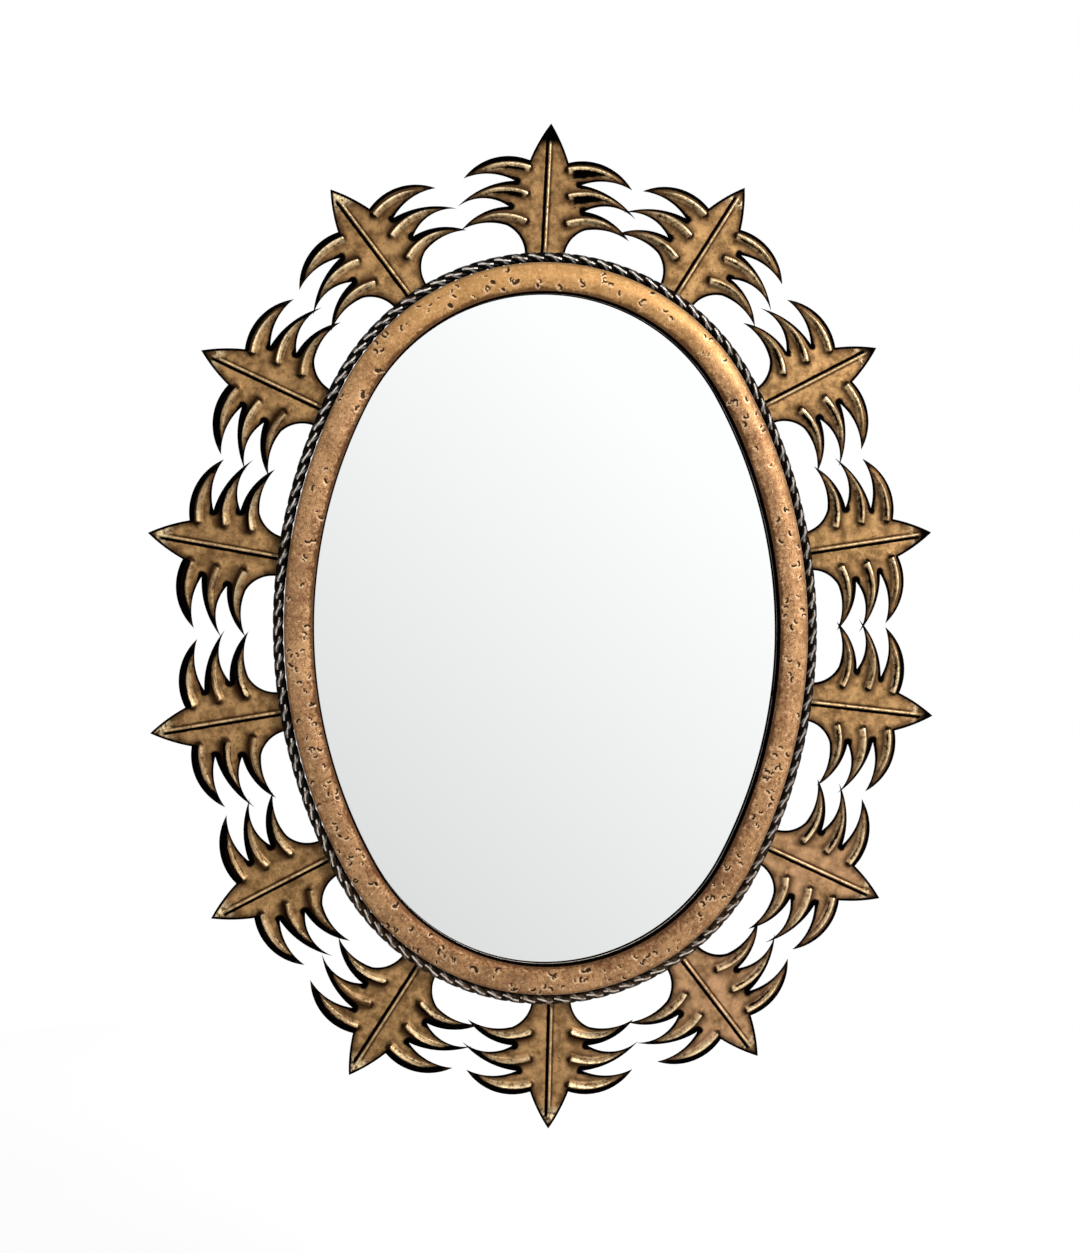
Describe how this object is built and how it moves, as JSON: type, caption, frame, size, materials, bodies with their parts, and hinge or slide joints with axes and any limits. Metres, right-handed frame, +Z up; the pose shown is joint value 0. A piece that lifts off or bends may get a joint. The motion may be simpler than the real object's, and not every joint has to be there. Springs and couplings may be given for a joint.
{
  "type": "oval wall mirror",
  "caption": "Oval wall mirror in a punched gilt iron band with a twisted iron rope edge and a border of embossed palm leaves; it hangs from a wire ring behind.",
  "frame": {"origin": "on the wall plane, at the height where the hook carries the hanging ring", "axes": "+Z up the wall, +Y into the wall, so the glass faces -Y"},
  "size_m": [0.7017, 0.031, 0.8955],
  "materials": {
    "band_gold": "antique gold leaf rubbed over dark iron, punched all over",
    "leaf_gold": "antique gold over black patina, brightest on the embossed crests",
    "rope_iron": "dark iron rubbed bright on the crowns",
    "hoop_iron": "black paint on flat iron bar",
    "mirror_silver": "silvered float glass",
    "board_fibre": "plain brown hardboard",
    "hanger_steel": "bright zinc plate"
  },
  "bodies": {
    "frame": {"face_band": "band_gold", "back_hoop": "hoop_iron", "rope_strand_a": "rope_iron", "rope_strand_b": "rope_iron", "mirror_glass": "mirror_silver", "backing_board": "board_fibre", "stem_welds": "hoop_iron", "retaining_tabs": "hanger_steel", "hanger_bar": "hoop_iron", "hanger_strap": "hanger_steel", "hanger_rivets": "hanger_steel", "leaf_01": "leaf_gold", "leaf_02": "leaf_gold", "leaf_03": "leaf_gold", "leaf_04": "leaf_gold", "leaf_05": "leaf_gold", "leaf_06": "leaf_gold", "leaf_07": "leaf_gold", "leaf_08": "leaf_gold", "leaf_09": "leaf_gold", "leaf_10": "leaf_gold", "leaf_11": "leaf_gold", "leaf_12": "leaf_gold", "leaf_13": "leaf_gold", "leaf_14": "leaf_gold"},
    "ring": {"hanging_ring": "hanger_steel"}
  },
  "joints": [
    {"name": "ring_swing", "type": "hinge", "parent": "frame", "child": "ring", "pos_m": [0, -0.0065, -0.01925], "axis": [-1, 0, 0], "range_deg": [0, 165]}
  ]
}
